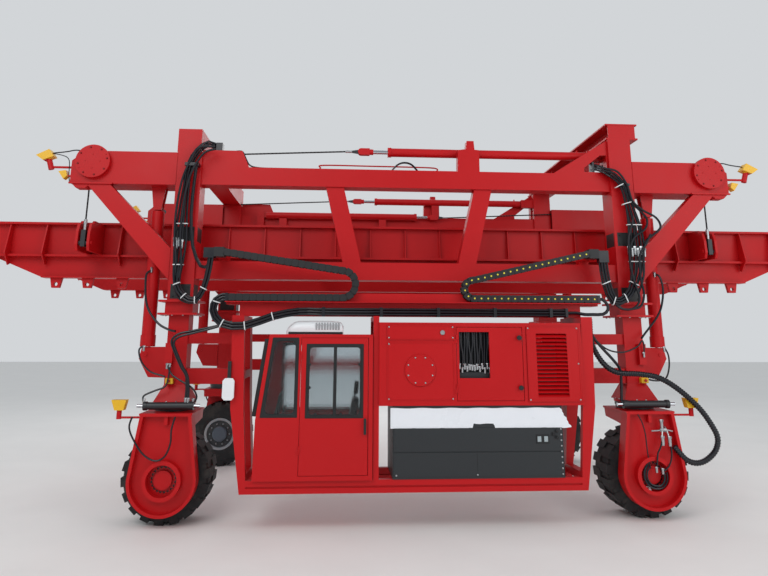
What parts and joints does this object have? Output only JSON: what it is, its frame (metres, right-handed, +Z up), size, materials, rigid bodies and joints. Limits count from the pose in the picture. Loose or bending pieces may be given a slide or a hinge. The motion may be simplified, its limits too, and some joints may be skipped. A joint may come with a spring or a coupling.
{
  "type": "mobile straddle carrier",
  "caption": "Four-wheeled straddle carrier with telescopic legs, side cab and engine housing, hoist cylinders and a long rope-hung container spreader.",
  "frame": {"origin": "middle of the machine's bounding box, on the ground", "axes": "+X along the machine towards the engine end, +Y across it away from the cab, +Z up"},
  "size_m": [13.7, 5.737, 6.0599],
  "materials": {
    "red_paint": "semi-gloss signal red paint",
    "housing_red": "semi-gloss signal red paint on sheet",
    "black_rubber": "matt black rubber",
    "tyre_rubber": "matt black solid tyre",
    "dark_steel": "dark machine paint",
    "rim_paint": "dark grey wheel paint",
    "guide_plastic": "black guide plastic",
    "hose_rubber": "black hydraulic hose",
    "wire_rope": "greased wire rope",
    "chrome_rod": "hard chrome",
    "clear_glass": "clear safety glass",
    "seat_cloth": "dark grey cloth",
    "cab_plastic": "dark grey moulded plastic",
    "white_plastic": "white moulded plastic",
    "box_grey": "dark grey powder coat",
    "cast_engine": "cast iron",
    "lamp_yellow": "yellow lamp housing"
  },
  "bodies": {
    "upper_frame": {"near_truss": "red_paint", "far_truss": "red_paint", "cross_beams": "red_paint", "leg_sleeves": "red_paint", "slide_pads": "guide_plastic", "rope_sheaves": "dark_steel", "sheave_covers": "red_paint", "near_hoist_barrels": "red_paint", "far_hoist_barrels": "red_paint", "rope_runs": "wire_rope", "rope_falls": "wire_rope", "lift_barrels": "red_paint", "upper_lamps": "lamp_yellow", "upper_hoses": "hose_rubber"},
    "near_lower": {"near_legs": "red_paint", "near_lift_rods": "chrome_rod", "near_slewing_gear": "dark_steel", "platform_frame": "red_paint", "cable_tray": "red_paint", "cab_shell": "red_paint", "cab_windows": "clear_glass", "driver_seat": "seat_cloth", "cab_console": "cab_plastic", "cooler_unit": "white_plastic", "engine_housing": "housing_red", "engine_block": "cast_engine", "power_box": "box_grey", "left_cable_chain": "black_rubber", "right_cable_chain": "black_rubber", "lower_hoses": "hose_rubber", "side_mirror": "white_plastic"},
    "far_lower": {"far_legs": "red_paint", "far_lift_rods": "chrome_rod", "far_slewing_gear": "dark_steel"},
    "cab_door": {"cab_door": "red_paint", "door_windows": "clear_glass"},
    "housing_door": {"housing_door": "housing_red"},
    "spreader": {"spreader_frame": "red_paint", "spreader_girders": "red_paint", "rope_anchors": "red_paint"},
    "near_left_fork": {"near_left_fork": "red_paint"},
    "near_left_wheel": {"near_left_rim": "rim_paint", "near_left_tyre": "tyre_rubber"},
    "near_left_hoist_rod": {"near_left_rod": "chrome_rod"},
    "near_right_fork": {"near_right_fork": "red_paint"},
    "near_right_wheel": {"near_right_rim": "rim_paint", "near_right_tyre": "tyre_rubber"},
    "near_right_hoist_rod": {"near_right_rod": "chrome_rod"},
    "far_left_fork": {"far_left_fork": "red_paint"},
    "far_left_wheel": {"far_left_rim": "rim_paint", "far_left_tyre": "tyre_rubber"},
    "far_left_hoist_rod": {"far_left_rod": "chrome_rod"},
    "far_right_fork": {"far_right_fork": "red_paint"},
    "far_right_wheel": {"far_right_rim": "rim_paint", "far_right_tyre": "tyre_rubber"},
    "far_right_hoist_rod": {"far_right_rod": "chrome_rod"}
  },
  "joints": [
    {"name": "near_lift", "type": "slide", "parent": "upper_frame", "child": "near_lower", "axis": [0, 0, -1], "range_m": [0, 1.1], "deforming": ["left_cable_chain", "right_cable_chain"]},
    {"name": "far_lift", "type": "slide", "parent": "upper_frame", "child": "far_lower", "axis": [0, 0, -1], "range_m": [0, 1.1]},
    {"name": "spreader_hoist", "type": "slide", "parent": "upper_frame", "child": "spreader", "axis": [0, 0, -1], "range_m": [0, 2.1], "deforming": ["rope_falls", "rope_runs"]},
    {"name": "near_left_rod_slide", "type": "slide", "parent": "upper_frame", "child": "near_left_hoist_rod", "axis": [-1, 0, 0], "range_m": [0, 2.1]},
    {"name": "near_right_rod_slide", "type": "slide", "parent": "upper_frame", "child": "near_right_hoist_rod", "axis": [1, 0, 0], "range_m": [0, 2.1]},
    {"name": "far_left_rod_slide", "type": "slide", "parent": "upper_frame", "child": "far_left_hoist_rod", "axis": [-1, 0, 0], "range_m": [0, 2.1]},
    {"name": "far_right_rod_slide", "type": "slide", "parent": "upper_frame", "child": "far_right_hoist_rod", "axis": [1, 0, 0], "range_m": [0, 2.1]},
    {"name": "near_left_steer", "type": "hinge", "parent": "near_lower", "child": "near_left_fork", "pos_m": [-3.5, -1.9675, 1.56], "axis": [0, 0, 1], "range_deg": [-50, 50]},
    {"name": "near_left_roll", "type": "hinge", "parent": "near_left_fork", "child": "near_left_wheel", "pos_m": [-3.5, -1.9675, 0.62], "axis": [0, 1, 0], "continuous": true},
    {"name": "near_right_steer", "type": "hinge", "parent": "near_lower", "child": "near_right_fork", "pos_m": [3.5, -1.9675, 1.56], "axis": [0, 0, 1], "range_deg": [-50, 50]},
    {"name": "near_right_roll", "type": "hinge", "parent": "near_right_fork", "child": "near_right_wheel", "pos_m": [3.5, -1.9675, 0.62], "axis": [0, 1, 0], "continuous": true},
    {"name": "far_left_steer", "type": "hinge", "parent": "far_lower", "child": "far_left_fork", "pos_m": [-3.5, 2.3325, 1.56], "axis": [0, 0, 1], "range_deg": [-50, 50]},
    {"name": "far_left_roll", "type": "hinge", "parent": "far_left_fork", "child": "far_left_wheel", "pos_m": [-3.5, 2.3325, 0.62], "axis": [0, 1, 0], "continuous": true},
    {"name": "far_right_steer", "type": "hinge", "parent": "far_lower", "child": "far_right_fork", "pos_m": [3.5, 2.3325, 1.56], "axis": [0, 0, 1], "range_deg": [-50, 50]},
    {"name": "far_right_roll", "type": "hinge", "parent": "far_right_fork", "child": "far_right_wheel", "pos_m": [3.5, 2.3325, 0.62], "axis": [0, 1, 0], "continuous": true},
    {"name": "cab_door_swing", "type": "hinge", "parent": "near_lower", "child": "cab_door", "pos_m": [-1.617, -2.8275, 1.64], "axis": [0, 0, -1], "range_deg": [0, 95]},
    {"name": "housing_door_swing", "type": "hinge", "parent": "near_lower", "child": "housing_door", "pos_m": [0.583, -2.8175, 2.2], "axis": [0, 0, -1], "range_deg": [0, 110]}
  ],
  "couplings": [
    {"joint": "far_lift", "follows": "near_lift", "ratio": 1},
    {"joint": "near_left_rod_slide", "follows": "spreader_hoist", "ratio": 1},
    {"joint": "near_right_rod_slide", "follows": "spreader_hoist", "ratio": 1},
    {"joint": "far_left_rod_slide", "follows": "spreader_hoist", "ratio": 1},
    {"joint": "far_right_rod_slide", "follows": "spreader_hoist", "ratio": 1}
  ]
}
